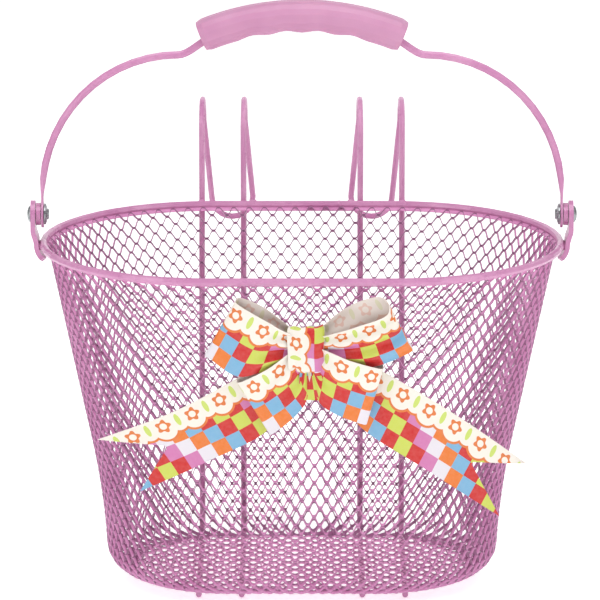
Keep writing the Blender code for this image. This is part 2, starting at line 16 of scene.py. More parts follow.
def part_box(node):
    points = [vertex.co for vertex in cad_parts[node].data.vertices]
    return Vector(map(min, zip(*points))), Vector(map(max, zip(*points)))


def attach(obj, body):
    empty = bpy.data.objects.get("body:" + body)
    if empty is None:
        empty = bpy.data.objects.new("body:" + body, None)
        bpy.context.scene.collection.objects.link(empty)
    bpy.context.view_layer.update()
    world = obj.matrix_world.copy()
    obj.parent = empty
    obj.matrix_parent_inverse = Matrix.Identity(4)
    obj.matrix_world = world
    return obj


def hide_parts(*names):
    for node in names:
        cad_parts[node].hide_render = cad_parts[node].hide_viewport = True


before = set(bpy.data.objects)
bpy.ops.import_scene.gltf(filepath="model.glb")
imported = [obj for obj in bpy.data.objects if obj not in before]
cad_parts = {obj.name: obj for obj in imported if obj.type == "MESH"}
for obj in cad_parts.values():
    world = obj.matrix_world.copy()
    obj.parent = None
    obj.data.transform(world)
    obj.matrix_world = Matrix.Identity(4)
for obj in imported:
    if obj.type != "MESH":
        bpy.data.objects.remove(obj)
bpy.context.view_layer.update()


# ---------------------------------------------------------------- sizes read from the frame

def middle(node):
    low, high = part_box(node)
    return (low + high) / 2


RIM_LOW, RIM_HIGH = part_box("rim_ring")
WALL_LOW, WALL_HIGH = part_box("mesh_wall")
FLOOR_LOW, FLOOR_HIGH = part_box("mesh_floor")
BASKET_Y = middle("rim_ring").y
RIM_Z = middle("rim_ring").z
RIM_WIRE = (RIM_HIGH.z - RIM_LOW.z) / 2
RIM_HALF_DEPTH = (RIM_HIGH.y - RIM_LOW.y) / 2
RIM_HALF_WIDTH = (RIM_HIGH.x - RIM_LOW.x) / 2
SHEET = FLOOR_HIGH.z - FLOOR_LOW.z

# Wall profile: its gap to the rim wire, the slopes of the rounded ends above and below their knee, how
# much less the straight sides slope, the flare at the top, and the corner at the foot.
RIM_GAP = 0.0003
END_SLOPE = 0.2118
FOOT_SLOPE = 0.060
KNEE_Z = 0.080
SIDE_TO_END = 0.70
FLARE = 0.0014
FLARE_HEIGHT = 0.006
CORNER_RADIUS = 0.016
CORNER_Z = FLOOR_LOW.z + CORNER_RADIUS
WALL_STEPS = 240
CORNER_STEPS = 39

# Expanded metal: openings round the wall, and how its ends lap. The sunk end settles in over some columns.
COLUMNS = 88
LAP_COLUMNS = 2.35
LAP_DEPTH = 0.0014
LAP_START_X = 0.0139
LAP_SINKS_BEFORE = 2.5
LAP_SINKS_OVER = 1.6

# Strands between two openings: width, and tilt from the sheet, at the wall's top and foot and on the floor.
TOP_STRAND = (0.0017, math.radians(73.0))
LOW_STRAND = (0.0023, math.radians(58.0))
FLOOR_STRAND = (0.0024, math.radians(50.0))
STRAND_LENGTH = 0.00617
STRAND_THICKNESS = 0.00074

# Where a strand is bonded to the next row, how far it reaches into it, how much its fall between two
# bonds is eased, and how much of its tilt its middle line follows in and out.
BOND_SHARE = 0.17
BOND_REACH = 0.9
BEND_SHARE = 0.55
SWING_SHARE = 0.2
# Share of painted shade on the strands' inner faces, where shade falls under them: on the wall, and none on
# the floor.
WALL_UNDERSIDE_SHADE = 0.55
FLOOR_UNDERSIDE_SHADE = 0.0

# Places of the sheets: the wall's top row and uncut edge, and the floor's rows.
TOP_ROW_Z = 0.1885
SELVAGE_DEPTH = 0.0019
SELVAGE_BEVEL = 0.0002
EDGE_BELOW_RIM = 0.4
FLOOR_PITCH = 0.0078
FLOOR_LIFT = 0.0006
FLOOR_LAP = 0.004
SLOPE_STEP = 0.0004

# Weld beads: half sizes along X, Y and Z, and how far they lie inside and below the rim wire's outside
# and middle.
HOOK_WIRE = 0.0017
BEAD_ROUGHNESS = 0.22
BEAD_LUMPS = 2.1
BEAD_SEED = 3.7
BEAD_SINK = 0.0002
HOOK_BEAD = (0.0027, 0.0016, 0.0030)
HOOK_BEAD_DROP = 0.0004
HOOK_BEAD_SHIFT = 0.0006
EAR_BEAD = (0.0015, 0.0030, 0.0018)
EAR_BEAD_DROP = 0.0016
EAR_BEAD_OFFSET = 0.0035
RIM_JOINT_X = 0.021
RIM_JOINT_BEAD = (0.0016, RIM_WIRE * 1.08, RIM_WIRE * 1.08)

# Bow, in its own leaning frame: x and z in its plane, layers counted outwards from the wall.
BOW_X = 0.0025
BOW_Z = 0.154
RIBBON_WIDTH = 0.034
RIBBON_SHEET = 0.0003
NOTCH = 0.030
NOTCH_REACH = 1.6
TUCK_DEPTH = 0.0012
TUCK_BLEND = 0.12
PLEAT_DEPTH = 0.0012
PLEAT_START = 0.6
MOST_SPARE = 1.2
TAIL_DROOP = 0.41
TAIL_CURVE_Z = 0.100

# Ribbon print, in mm. A scallop is given by its centre's place across the ribbon and its radius.
PRINT_SQUARE = 8.5
BORDER_WIDTH = 7.4
LARGE_SCALLOP = (7.6, 6.2)
SMALL_SCALLOP = (6.6, 4.8)
BORDER_EDGE = 1.3
FLOWER_PLACE = 5.6
FLOWER_RADIUS = 3.5
FLOWER_MIDDLE = 1.9
PETALS = 5.0
PETAL_DEPTH = 0.7
LEAF_PLACE = 5.0
LEAF_HALF_WIDTH = 3.6
LEAF_SLIMNESS = 2.6
RIB_PITCH = 0.42

# Camera, in front of the basket and looking down on it a little, with its lens in mm.
VIEW_ELEVATION = math.radians(14.0)
VIEW_DISTANCE = 2.9
VIEW_TARGET = Vector((-0.0011, BASKET_Y, 0.157))
LENS = 313.8
SENSOR = 36.0


# ---------------------------------------------------------------- shader nodes

class Nodes:
    """A material's node tree, with short calls for the nodes that the finishes share."""

    def __init__(self, name):
        self.material = bpy.data.materials.new(name)
        self.material.use_nodes = True
        self.tree = self.material.node_tree
        self.shader = self.tree.nodes["Principled BSDF"]

    def add(self, kind, **settings):
        node = self.tree.nodes.new(kind)
        for key, value in settings.items():
            setattr(node, key, value)
        return node

    def link(self, source, target):
        if isinstance(source, (int, float)):
            target.default_value = source
        elif isinstance(source, tuple):
            target.default_value = (*source, 1.0)[:4] if target.type == "RGBA" else source
        else:
            self.tree.links.new(source, target)

    def math(self, operation, first, second=0.0, third=0.0):
        node = self.add("ShaderNodeMath", operation=operation)
        for socket, value in zip(node.inputs, (first, second, third)):
            self.link(value, socket)
        return node.outputs[0]

    def mix(self, share, first, second, blend_type="MIX"):
        node = self.add("ShaderNodeMix", data_type="RGBA", blend_type=blend_type)
        self.link(share, node.inputs["Factor"])
        self.link(first, node.inputs[6])
        self.link(second, node.inputs[7])
        return node.outputs[2]

    def between(self, value, low, high, to_low=0.0, to_high=1.0):
        node = self.add("ShaderNodeMapRange", clamp=True)
        for socket, number in zip(node.inputs, (value, low, high, to_low, to_high)):
            self.link(number, socket)
        return node.outputs[0]

    def place(self):
        return self.add("ShaderNodeTexCoord").outputs["Object"]

    def noise(self, scale, detail=4.0, roughness=0.55, vector=None):
        node = self.add("ShaderNodeTexNoise")
        node.inputs["Scale"].default_value = scale
        node.inputs["Detail"].default_value = detail
        node.inputs["Roughness"].default_value = roughness
        self.tree.links.new(vector or self.place(), node.inputs["Vector"])
        return node.outputs["Fac"]

    def attribute(self, name, output="Fac"):
        return self.add("ShaderNodeAttribute", attribute_name=name).outputs[output]

    def bump(self, height, strength, distance):
        node = self.add("ShaderNodeBump")
        node.inputs["Strength"].default_value = strength
        node.inputs["Distance"].default_value = distance
        self.tree.links.new(height, node.inputs["Height"])
        self.tree.links.new(node.outputs["Normal"], self.shader.inputs["Normal"])

    def finish(self, colour, roughness, **uniform):
        self.link(colour, self.shader.inputs["Base Color"])
        self.link(roughness, self.shader.inputs["Roughness"])
        for name, value in uniform.items():
            socket = name.replace("_", " ").title().replace("Ior", "IOR")
            self.shader.inputs[socket].default_value = value
        return self.material


def srgb(red, green, blue):
    """A colour given as it looks on a screen, 0 to 255, as the linear numbers a shader takes."""
    def linear(value):
        share = value / 255
        return share / 12.92 if share <= 0.04045 else ((share + 0.055) / 1.055) ** 2.4
    return (linear(red), linear(green), linear(blue))


# ---------------------------------------------------------------- finishes

def powder_coat(name, main, deep, speck_and_shade, roughness, shade_share=0.0):
    """Sprayed pink coating: cloudy colour, orange-peel surface, and, where asked, painted shade: a dark
    colour on the strands' narrow edges and undersides, where shade falls.
    """
    nodes = Nodes(name)
    cloud = nodes.between(nodes.noise(38.0, 3.0), 0.35, 0.65)
    speck = nodes.between(nodes.noise(900.0, 2.0), 0.55, 0.72)
    colour = nodes.mix(cloud, main, deep)
    colour = nodes.mix(nodes.math("MULTIPLY", speck, 0.22), colour, speck_and_shade)
    if shade_share:
        # Painted shade: the strands' narrow edges and undersides take the dark colour, standing in for the
        # shade that falls there.
        edge = nodes.between(nodes.attribute("painted_edge_shade"), 0.15, 0.95)
        colour = nodes.mix(nodes.math("MULTIPLY", edge, shade_share), colour, speck_and_shade)
    gloss = nodes.between(nodes.noise(120.0, 3.0), 0.3, 0.7, roughness - 0.05, roughness + 0.09)
    nodes.bump(nodes.noise(1500.0, 3.0), 0.22, 0.0002)
    return nodes.finish(colour, gloss, coat_weight=0.40, coat_roughness=0.18)


def plated_steel(name):
    """Zinc-plated steel, mottled and lightly scratched."""
    nodes = Nodes(name)
    patch = nodes.between(nodes.noise(260.0, 4.0), 0.35, 0.7)
    colour = nodes.mix(patch, srgb(178, 182, 184), srgb(128, 132, 134))
    scratch = nodes.noise(2600.0, 2.0, 0.6)
    nodes.bump(scratch, 0.18, 0.0001)
    return nodes.finish(colour, nodes.between(patch, 0.0, 1.0, 0.24, 0.42), metallic=1.0)


def moulded_plastic(name):
    """Satin pink grip, with the fine texture that its mould leaves."""
    nodes = Nodes(name)
    cloud = nodes.between(nodes.noise(30.0, 3.0), 0.35, 0.65)
    colour = nodes.mix(cloud, srgb(206, 148, 182), srgb(197, 136, 173))
    grain = nodes.noise(2400.0, 3.0, 0.6)
    nodes.bump(grain, 0.30, 0.0002)
    gloss = nodes.between(nodes.noise(70.0, 3.0), 0.3, 0.7, 0.38, 0.50)
    return nodes.finish(colour, gloss, subsurface_weight=0.06, subsurface_scale=0.004)


PRINT_COLOURS = (
    srgb(202, 32, 30), srgb(120, 174, 210), srgb(206, 120, 174), srgb(202, 32, 30),
    srgb(226, 220, 228), srgb(200, 210, 86), srgb(228, 120, 40),
)
CREAM = srgb(240, 233, 222)
LACE_ORANGE = srgb(222, 118, 48)
LEAF_GREEN = srgb(200, 218, 104)


def ribbon_print(name, fade):
    """Stiff printed ribbon: a check of six colours, with flowers and leaves on a scalloped cream border.
    The reverse is the same print, faded."""
    nodes = Nodes(name)
    place = nodes.add("ShaderNodeSeparateXYZ")
    nodes.tree.links.new(nodes.attribute("ribbon_place", "Vector"), place.inputs[0])
    along = nodes.math("MULTIPLY", place.outputs[0], 1000.0)
    across = nodes.math("MULTIPLY", place.outputs[1], 1000.0)

    def distance(centre_along, centre_across, stretch=1.0):
        """Distance from the nearest of a row of centres, two squares apart, and its two parts."""
        period = 2 * PRINT_SQUARE
        shifted = nodes.math("SUBTRACT", along, centre_along)
        turn = nodes.math("ROUND", nodes.math("DIVIDE", shifted, period))
        past = nodes.math("SUBTRACT", shifted, nodes.math("MULTIPLY", turn, period))
        past = nodes.math("MULTIPLY", past, stretch)
        above = nodes.math("SUBTRACT", across, centre_across)
        squared = nodes.math("ADD", nodes.math("MULTIPLY", past, past), nodes.math("MULTIPLY", above, above))
        return nodes.math("SQRT", squared), past, above

    def scallop(centre_along, form):
        return nodes.math("SUBTRACT", distance(centre_along, form[0])[0], form[1])

    column = nodes.math("FLOOR", nodes.math("DIVIDE", along, PRINT_SQUARE))
    row = nodes.math("FLOOR", nodes.math("DIVIDE", across, PRINT_SQUARE))
    share = 1.0 / len(PRINT_COLOURS)
    jump = nodes.math("MULTIPLY", column, 2 * share)
    jump = nodes.math("ADD", jump, nodes.math("MULTIPLY", row, 5 * share))
    ramp = nodes.add("ShaderNodeValToRGB")
    ramp.color_ramp.interpolation = "CONSTANT"
    stops = ramp.color_ramp.elements
    while len(stops) < len(PRINT_COLOURS):
        stops.new(0.5)
    for i, colour in enumerate(PRINT_COLOURS):
        stops[i].position = i * share
        stops[i].color = (*colour, 1.0)
    nodes.link(nodes.math("FRACT", nodes.math("ADD", jump, share / 2)), ramp.inputs[0])
    colour = ramp.outputs[0]

    border = nodes.math("MINIMUM", scallop(0.0, LARGE_SCALLOP), scallop(PRINT_SQUARE, SMALL_SCALLOP))
    border = nodes.math("MINIMUM", border, nodes.math("SUBTRACT", across, BORDER_WIDTH))
    colour = nodes.mix(nodes.math("LESS_THAN", border, BORDER_EDGE), colour, LACE_ORANGE)
    colour = nodes.mix(nodes.math("LESS_THAN", border, 0.0), colour, CREAM)
    ring, past, above = distance(0.0, FLOWER_PLACE)
    petals = nodes.math("COSINE", nodes.math("MULTIPLY", nodes.math("ARCTAN2", above, past), PETALS))
    flower = nodes.math("SUBTRACT", ring, nodes.math("MULTIPLY", petals, PETAL_DEPTH))
    colour = nodes.mix(nodes.math("LESS_THAN", flower, FLOWER_RADIUS), colour, LACE_ORANGE)
    colour = nodes.mix(nodes.math("LESS_THAN", ring, FLOWER_MIDDLE), colour, CREAM)
    leaf = distance(PRINT_SQUARE, LEAF_PLACE, LEAF_SLIMNESS)[0]
    colour = nodes.mix(nodes.math("LESS_THAN", leaf, LEAF_HALF_WIDTH), colour, LEAF_GREEN)

    ink = nodes.between(nodes.noise(420.0, 3.0), 0.3, 0.7, 0.0, 0.05)
    colour = nodes.mix(ink, colour, CREAM)
    if fade:
        colour = nodes.mix(fade, colour, srgb(226, 212, 206))
    rib = nodes.math("SINE", nodes.math("MULTIPLY", along, 2 * math.pi / RIB_PITCH))
    weave = nodes.math("ADD", nodes.math("MULTIPLY", rib, 0.5), nodes.noise(1800.0, 2.0))
    nodes.bump(weave, 0.20, 0.00008)
    gloss = nodes.between(nodes.noise(90.0, 3.0), 0.3, 0.7, 0.30, 0.44)
    return nodes.finish(colour, gloss, specular_ior_level=0.35, coat_weight=0.12, coat_roughness=0.15)


def coated_wire(name):
    """White plastic over thin wire, a little yellowed in patches."""
    nodes = Nodes(name)
    patch = nodes.between(nodes.noise(300.0, 3.0), 0.4, 0.7)
    nodes.bump(nodes.noise(1600.0, 3.0), 0.25, 0.0001)
    colour = nodes.mix(patch, srgb(236, 236, 232), srgb(214, 212, 200))
    return nodes.finish(colour, nodes.between(patch, 0.0, 1.0, 0.4, 0.55))


PINK_COAT = powder_coat(
    "pink_coat", srgb(211, 148, 188), srgb(200, 131, 176), srgb(180, 108, 154), roughness=0.28,
)
# The mesh coat's dark third colour serves its specks and its painted shade on the strands' edges and
# undersides.
MESH_COAT = powder_coat(
    "mesh_coat", srgb(228, 156, 204), srgb(212, 134, 186), srgb(74, 42, 70), roughness=0.40, shade_share=0.92,
)
STEEL = plated_steel("plated_steel")
GRIP = moulded_plastic("grip_plastic")
PRINT = ribbon_print("ribbon_print", 0.0)
PRINT_REVERSE = ribbon_print("ribbon_reverse", 0.72)
TIE = coated_wire("tie_wire")


def wear(piece, material):
    """Gives one of the frame's own nodes its finish."""
    piece.data.materials.clear()
    piece.data.materials.append(material)
    piece.data.polygons.foreach_set("use_smooth", [True] * len(piece.data.polygons))
    piece.data.set_sharp_from_angle(angle=math.radians(40.0))


CARRIED_OVER = {
    "rim_ring": PINK_COAT, "hook_wire_left": PINK_COAT, "hook_wire_right": PINK_COAT,
    "pivot_ear_left": PINK_COAT, "pivot_ear_right": PINK_COAT, "bail_wire": PINK_COAT,
    "spacer_washer_left": PINK_COAT, "spacer_washer_right": PINK_COAT,
    "rivet_left": STEEL, "rivet_right": STEEL, "cap_washer_left": STEEL, "cap_washer_right": STEEL,
    "grip_front_shell": GRIP, "grip_back_shell": GRIP, "bow_tie_wire": TIE,
}
for node_name, finish in CARRIED_OVER.items():
    wear(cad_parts[node_name], finish)


# ---------------------------------------------------------------- pieces

def new_piece(name, vertices, faces, material, body):
    """A smooth mesh that rides a body of the frame."""
    mesh = bpy.data.meshes.new(name)
    mesh.from_pydata(vertices, [], faces)
    mesh.materials.append(material)
    mesh.polygons.foreach_set("use_smooth", [True] * len(mesh.polygons))
    mesh.validate()
    piece = bpy.data.objects.new(name, mesh)
    bpy.context.scene.collection.objects.link(piece)
    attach(piece, body)
    return piece


# ---------------------------------------------------------------- expanded metal

def end_inset(z):
    """How far the rounded end has come in at height z, from its place at the rim."""
    below_knee = np.maximum(0.0, KNEE_Z - z)
    relief = (END_SLOPE - FOOT_SLOPE) * below_knee ** 2 / (2.0 * (KNEE_Z - CORNER_Z))
    return END_SLOPE * (RIM_Z - z) - relief


def wall_radius(z):
    """Outer radius of the rounded ends, which is also the distance of the straight sides."""
    flare = FLARE * np.maximum(0.0, 1.0 - (WALL_HIGH.z - z) / FLARE_HEIGHT) ** 2
    inside_rim = RIM_HALF_DEPTH - 2 * RIM_WIRE - RIM_GAP
    return inside_rim - SIDE_TO_END * end_inset(z) + flare


def wall_half_straight(z):
    """Half the length of the straight sides between the rounded ends."""
    return RIM_HALF_WIDTH - RIM_HALF_DEPTH - (1.0 - SIDE_TO_END) * end_inset(z)


def wall_profile():
    """Distance down the wall and round its corner, with the radius, half straight and height there.
    The sheet's top row of bonds is at distance 0, and its edge goes on up into the rim."""
    heights = np.linspace(TOP_ROW_Z, CORNER_Z, WALL_STEPS)
    turns = np.linspace(0.0, math.pi / 2, CORNER_STEPS + 1)[1:]
    bend = CORNER_RADIUS - SHEET / 2
    corner = wall_radius(CORNER_Z) - CORNER_RADIUS + bend * np.cos(turns)
    foot = np.full(len(turns), wall_half_straight(CORNER_Z))
    radius = np.hstack((RIM_HALF_DEPTH - RIM_WIRE, wall_radius(heights) - SHEET / 2, corner))
    straight = np.hstack((RIM_HALF_WIDTH - RIM_HALF_DEPTH, wall_half_straight(heights), foot))
    height = np.hstack((RIM_Z - EDGE_BELOW_RIM * RIM_WIRE, heights, CORNER_Z - bend * np.sin(turns)))
    steps = np.hypot(np.diff(radius), np.diff(height))
    distance = np.hstack((0.0, np.cumsum(steps))) - steps[0]
    return distance, radius, straight, height


PROFILE = wall_profile()


def round_outline(along, radius, straight):
    """Place and outward direction at a distance along an outline of four half straights and two half
    rounds, which starts in the middle of the back and goes towards +X."""
    half_round = math.pi * radius
    first_turn = np.clip((along - straight) / radius, 0.0, math.pi)
    second_turn = np.clip((along - 3 * straight - half_round) / radius, 0.0, math.pi)
    out_x = np.sin(first_turn + second_turn)
    out_y = np.cos(first_turn + second_turn)
    centre_x = np.minimum(along, straight)
    centre_x = centre_x - np.clip(along - straight - half_round, 0.0, 2 * straight)
    centre_x = centre_x + np.maximum(along - 3 * straight - 2 * half_round, 0.0)
    return centre_x + radius * out_x, radius * out_y, out_x, out_y


def on_wall(column, distance):
    """Points on the wall's middle surface, with the directions outwards and up the wall there."""
    known = PROFILE[0]
    radius, straight, height = (np.interp(distance, known, values) for values in PROFILE[1:])
    lower = np.minimum(distance + SLOPE_STEP, known[-1])
    upper = np.maximum(lower - 2 * SLOPE_STEP, 0.0)
    rise_out = np.interp(upper, known, PROFILE[1]) - np.interp(lower, known, PROFILE[1])
    rise_up = np.interp(upper, known, PROFILE[3]) - np.interp(lower, known, PROFILE[3])
    size = np.hypot(rise_out, rise_up)
    rise_out = rise_out / size
    rise_up = rise_up / size

    perimeter = 2 * math.pi * radius + 4 * straight
    along = LAP_START_X * perimeter / (2 * math.pi * PROFILE[1][0] + 4 * PROFILE[2][0])
    along = np.mod(along + column * perimeter / COLUMNS, perimeter)
    x, y, out_x, out_y = round_outline(along, radius, straight)
    points = np.stack((x, y + BASKET_Y, height), axis=-1)
    outward = np.stack((out_x * rise_up, out_y * rise_up, -rise_out), axis=-1)
    upward = np.stack((out_x * rise_out, out_y * rise_out, rise_up), axis=-1)
    return points, outward, upward


def row_distances():
    """Distances down the wall of the rows of bonds. The strands keep their length, so the rows open as
    the columns close."""
    rows = [0.0]
    while rows[-1] < PROFILE[0][-1]:
        radius = np.interp(rows[-1], PROFILE[0], PROFILE[1])
        straight = np.interp(rows[-1], PROFILE[0], PROFILE[2])
        half_column = (2 * math.pi * radius + 4 * straight) / COLUMNS / 2
        rows.append(rows[-1] + math.sqrt(STRAND_LENGTH ** 2 - half_column ** 2))
    return rows[:-1] + [PROFILE[0][-1]]


# A strand's section, in halves of its width and thickness, and where its sections stand in a half column.
SECTION = ((-1.0, 0.0), (-0.72, 1.0), (0.72, 1.0), (1.0, 0.0), (0.72, -1.0), (-0.72, -1.0))
RING_SHARES = (BOND_SHARE, 0.34, 0.66, 1.0 - BOND_SHARE)


def strand(first_half, last_half, top, bottom, crest_parity, place, form, underside_shade, sink=None):
    """One zigzag strand between two rows of bonds: its tube's vertices, faces and shares of painted shade,
    full on its narrow edges. underside is the painted shade's share on its inner face, and sink(column) is
    how far the sheet stands back there."""
    halves = np.arange(first_half, last_half)
    shares = np.tile(np.array(RING_SHARES), len(halves))
    half = np.repeat(halves, len(RING_SHARES))
    going_down = (half + crest_parity) % 2 == 0
    fall = np.clip((shares - BOND_SHARE) / (1.0 - 2 * BOND_SHARE), 0.0, 1.0)
    fall = (1.0 - BEND_SHARE) * fall + BEND_SHARE * fall * fall * (3 - 2 * fall)
    fall = np.where(going_down, fall, 1.0 - fall)
    width, tilt = form
    lean = width / 2 * BOND_REACH
    start = top + lean * math.cos(tilt)
    end = bottom - lean * math.cos(tilt)
    distance = start + (end - start) * fall
    column = (half + shares) / 2
    points, outward, upward = place(column, np.maximum(distance, 0.0))
    swing = (0.5 - fall) * 2 * lean * math.sin(tilt) * SWING_SHARE
    if sink is not None:
        swing = swing - sink(column)
    centres = points + outward * swing[:, None]
    broad = upward * math.cos(tilt) - outward * math.sin(tilt)
    thin = upward * math.sin(tilt) + outward * math.cos(tilt)
    lines = [centres + broad * (wide * width / 2) + thin * (deep * STRAND_THICKNESS / 2)
             for wide, deep in SECTION]
    sides = len(SECTION)
    vertices = np.stack(lines, axis=1).reshape(-1, 3)
    count = len(centres)
    base = np.arange(count - 1)[:, None] * sides
    corner = np.arange(sides)[None, :]
    following = (corner + 1) % sides
    near = (base + corner, base + following)
    far = (base + sides + following, base + sides + corner)
    faces = np.stack(near + far, axis=-1).reshape(-1, 4).tolist()
    faces.append(list(range(sides))[::-1])
    faces.append([(count - 1) * sides + i for i in range(sides)])
    # Painted shade: full on the narrow edges, and the underside share on the inner face.
    painted_shade = [1.0 if abs(wide) == 1.0 else underside_shade * (deep < 0.0) for wide, deep in SECTION]
    return vertices, faces, np.tile(np.array(painted_shade), count)


def expanded_piece(name, strands, replaced):
    """A piece of expanded metal made of strands, in place of a node that is a plain sheet."""
    vertices, faces, edges = [], [], []
    offset = 0
    for points, sides, painted_shade in strands:
        vertices.append(points)
        faces += [[i + offset for i in face] for face in sides]
        edges.append(painted_shade)
        offset += len(points)
    piece = new_piece(name, np.concatenate(vertices).tolist(), faces, MESH_COAT, "basket")
    # Each vertex's share of painted shade, which the mesh coat reads.
    attribute = piece.data.attributes.new("painted_edge_shade", "FLOAT", "POINT")
    attribute.data.foreach_set("value", np.concatenate(edges).astype(np.float32))
    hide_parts(replaced)


def make_wall():
    """The wall in two bands, each a stack of zigzag strands that lap at the back."""
    rows = row_distances()
    last_half = int(2 * (COLUMNS + LAP_COLUMNS))

    def sink(column):
        return LAP_DEPTH * np.clip((column - COLUMNS + LAP_SINKS_BEFORE) / LAP_SINKS_OVER, 0.0, 1.0)

    laid = []
    for i, (top, bottom) in enumerate(zip(rows, rows[1:])):
        share = i / len(rows)
        form = tuple(high + (low - high) * share for high, low in zip(TOP_STRAND, LOW_STRAND))
        laid.append(strand(0, last_half, top, bottom, i, on_wall, form, WALL_UNDERSIDE_SHADE, sink))
    half = len(laid) // 2
    expanded_piece("mesh_wall_upper", laid[:half], "mesh_wall")
    expanded_piece("mesh_wall_lower", laid[half:], "mesh_wall")


def make_selvage():
    """The uncut edge of the sheet, a narrow strip round its top just under the rim."""
    turns = np.linspace(0.0, COLUMNS, 4 * COLUMNS, endpoint=False)
    depths = (PROFILE[0][0], 0.0, SELVAGE_DEPTH - SELVAGE_BEVEL)
    outline = [(depth, 0.5) for depth in depths] + [(SELVAGE_DEPTH, 0.0)]
    outline += [(depth, -0.5) for depth in reversed(depths)]
    lines = []
    for depth, out in outline:
        points, outward, upward = on_wall(turns, np.full(len(turns), depth))
        lines.append(points + outward * (out * STRAND_THICKNESS))
    sides = len(lines)
    count = len(turns)
    vertices = np.stack(lines, axis=1).reshape(-1, 3).tolist()
    faces = []
    for i in range(count):
        after = (i + 1) % count
        for side in range(sides):
            other = (side + 1) % sides
            faces.append((i * sides + side, after * sides + side, after * sides + other, i * sides + other))
    piece = new_piece("mesh_wall_selvage", vertices, faces, MESH_COAT, "basket")
    piece.data.set_sharp_from_angle(angle=math.radians(40.0))
    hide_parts("mesh_wall")


# The floor sheet laps the turned-in foot of the wall.
FLOOR_REACH = wall_radius(CORNER_Z) - CORNER_RADIUS + FLOOR_LAP


def on_floor(column, distance):
    """Points on the floor sheet, counted from its back edge, with the directions up and backwards."""
    zero = np.zeros_like(column)
    height = zero + (FLOOR_LOW.z + FLOOR_HIGH.z) / 2 + FLOOR_LIFT
    front_to_back = FLOOR_REACH - distance
    points = np.stack((column * FLOOR_PITCH, BASKET_Y + front_to_back, height), axis=-1)
    outward = np.stack((zero, zero, zero + 1.0), axis=-1)
    upward = np.stack((zero, zero + 1.0, zero), axis=-1)
    return points, outward, upward


def make_floor():
    """The floor sheet, whose strands end on an outline with half rounds at its ends."""
    radius = FLOOR_REACH
    straight = wall_half_straight(CORNER_Z)
    row = math.sqrt(STRAND_LENGTH ** 2 - (FLOOR_PITCH / 2) ** 2)
    count = int(radius / row)
    laid = []
    for i in range(-count, count):
        widest = max(abs(i), abs(i + 1)) * row
        reach = straight + math.sqrt(radius ** 2 - widest ** 2)
        halves = int(reach / (FLOOR_PITCH / 2))
        top = radius + i * row
        laid.append(strand(-halves, halves, top, top + row, i, on_floor, FLOOR_STRAND, FLOOR_UNDERSIDE_SHADE))
    expanded_piece("mesh_floor_sheet", laid, "mesh_floor")


make_wall()
make_selvage()
make_floor()


# ---------------------------------------------------------------- welds

def weld_bead(form, at, size, seed):
    """A lump of weld under the coating, uneven all over."""
    made = bmesh.ops.create_icosphere(form, subdivisions=3, radius=1.0)
    for vertex in made["verts"]:
        rough = 1.0 + BEAD_ROUGHNESS * noise.noise(vertex.co * BEAD_LUMPS + Vector((seed, 0.0, 0.0)))
        vertex.co = at + Vector([part * span * rough for part, span in zip(vertex.co, size)])


def make_welds():
    """Beads where the hook wires and the pivot ears meet the rim, and where the rim wire closes."""
    form = bmesh.new()
    places = []
    for node in ("hook_wire_left", "hook_wire_right"):
        low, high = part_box(node)
        for x in (low.x + HOOK_WIRE, high.x - HOOK_WIRE):
            at = Vector((x, RIM_HIGH.y - BEAD_SINK, RIM_Z - HOOK_BEAD_DROP))
            places.append((at, HOOK_BEAD, HOOK_BEAD_SHIFT))
    for side in (-1, 1):
        for along in (-EAR_BEAD_OFFSET, EAR_BEAD_OFFSET):
            at = Vector((side * (RIM_HALF_WIDTH - BEAD_SINK), BASKET_Y + along, RIM_Z - EAR_BEAD_DROP))
            places.append((at, EAR_BEAD, 0.0))
    places.append((Vector((RIM_JOINT_X, RIM_HIGH.y - RIM_WIRE, RIM_Z)), RIM_JOINT_BEAD, 0.0))
    for i, (at, size, aside) in enumerate(places):
        seed = BEAD_SEED * (i + 1)
        at.x += aside * math.sin(seed)
        weld_bead(form, at, size, seed)
    form.verts.index_update()
    vertices = [tuple(vertex.co) for vertex in form.verts]
    faces = [[vertex.index for vertex in face.verts] for face in form.faces]
    form.free()
    new_piece("weld_beads", vertices, faces, PINK_COAT, "basket")


make_welds()


# ---------------------------------------------------------------- ribbon bow

def bow_place():
    """The bow's frame, on the front of the wall and leaning as the wall does."""
    lean = math.atan(SIDE_TO_END * END_SLOPE)
    at = Vector((BOW_X, BASKET_Y - float(wall_radius(BOW_Z)), BOW_Z))
    return Matrix.Translation(at) @ Matrix.Rotation(lean, 4, "X")


BOW = bow_place()


def through(stations, steps):
    """Points on a smooth curve through all the stations, which may have any number of values each."""
    points = np.array(stations, float)
    padded = np.vstack((2 * points[0] - points[1], points, 2 * points[-1] - points[-2]))
    found = []
    for i in range(len(points) - 1):
        before, start, end, after = padded[i:i + 4]
        squared = 2 * before - 5 * start + 4 * end - after
        cubed = 3 * start - before - 3 * end + after
        for t in np.linspace(0.0, 1.0, steps, endpoint=False):
            found.append(0.5 * (2 * start + (end - before) * t + squared * t ** 2 + cubed * t ** 3))
    return np.array(found + [points[-1]])


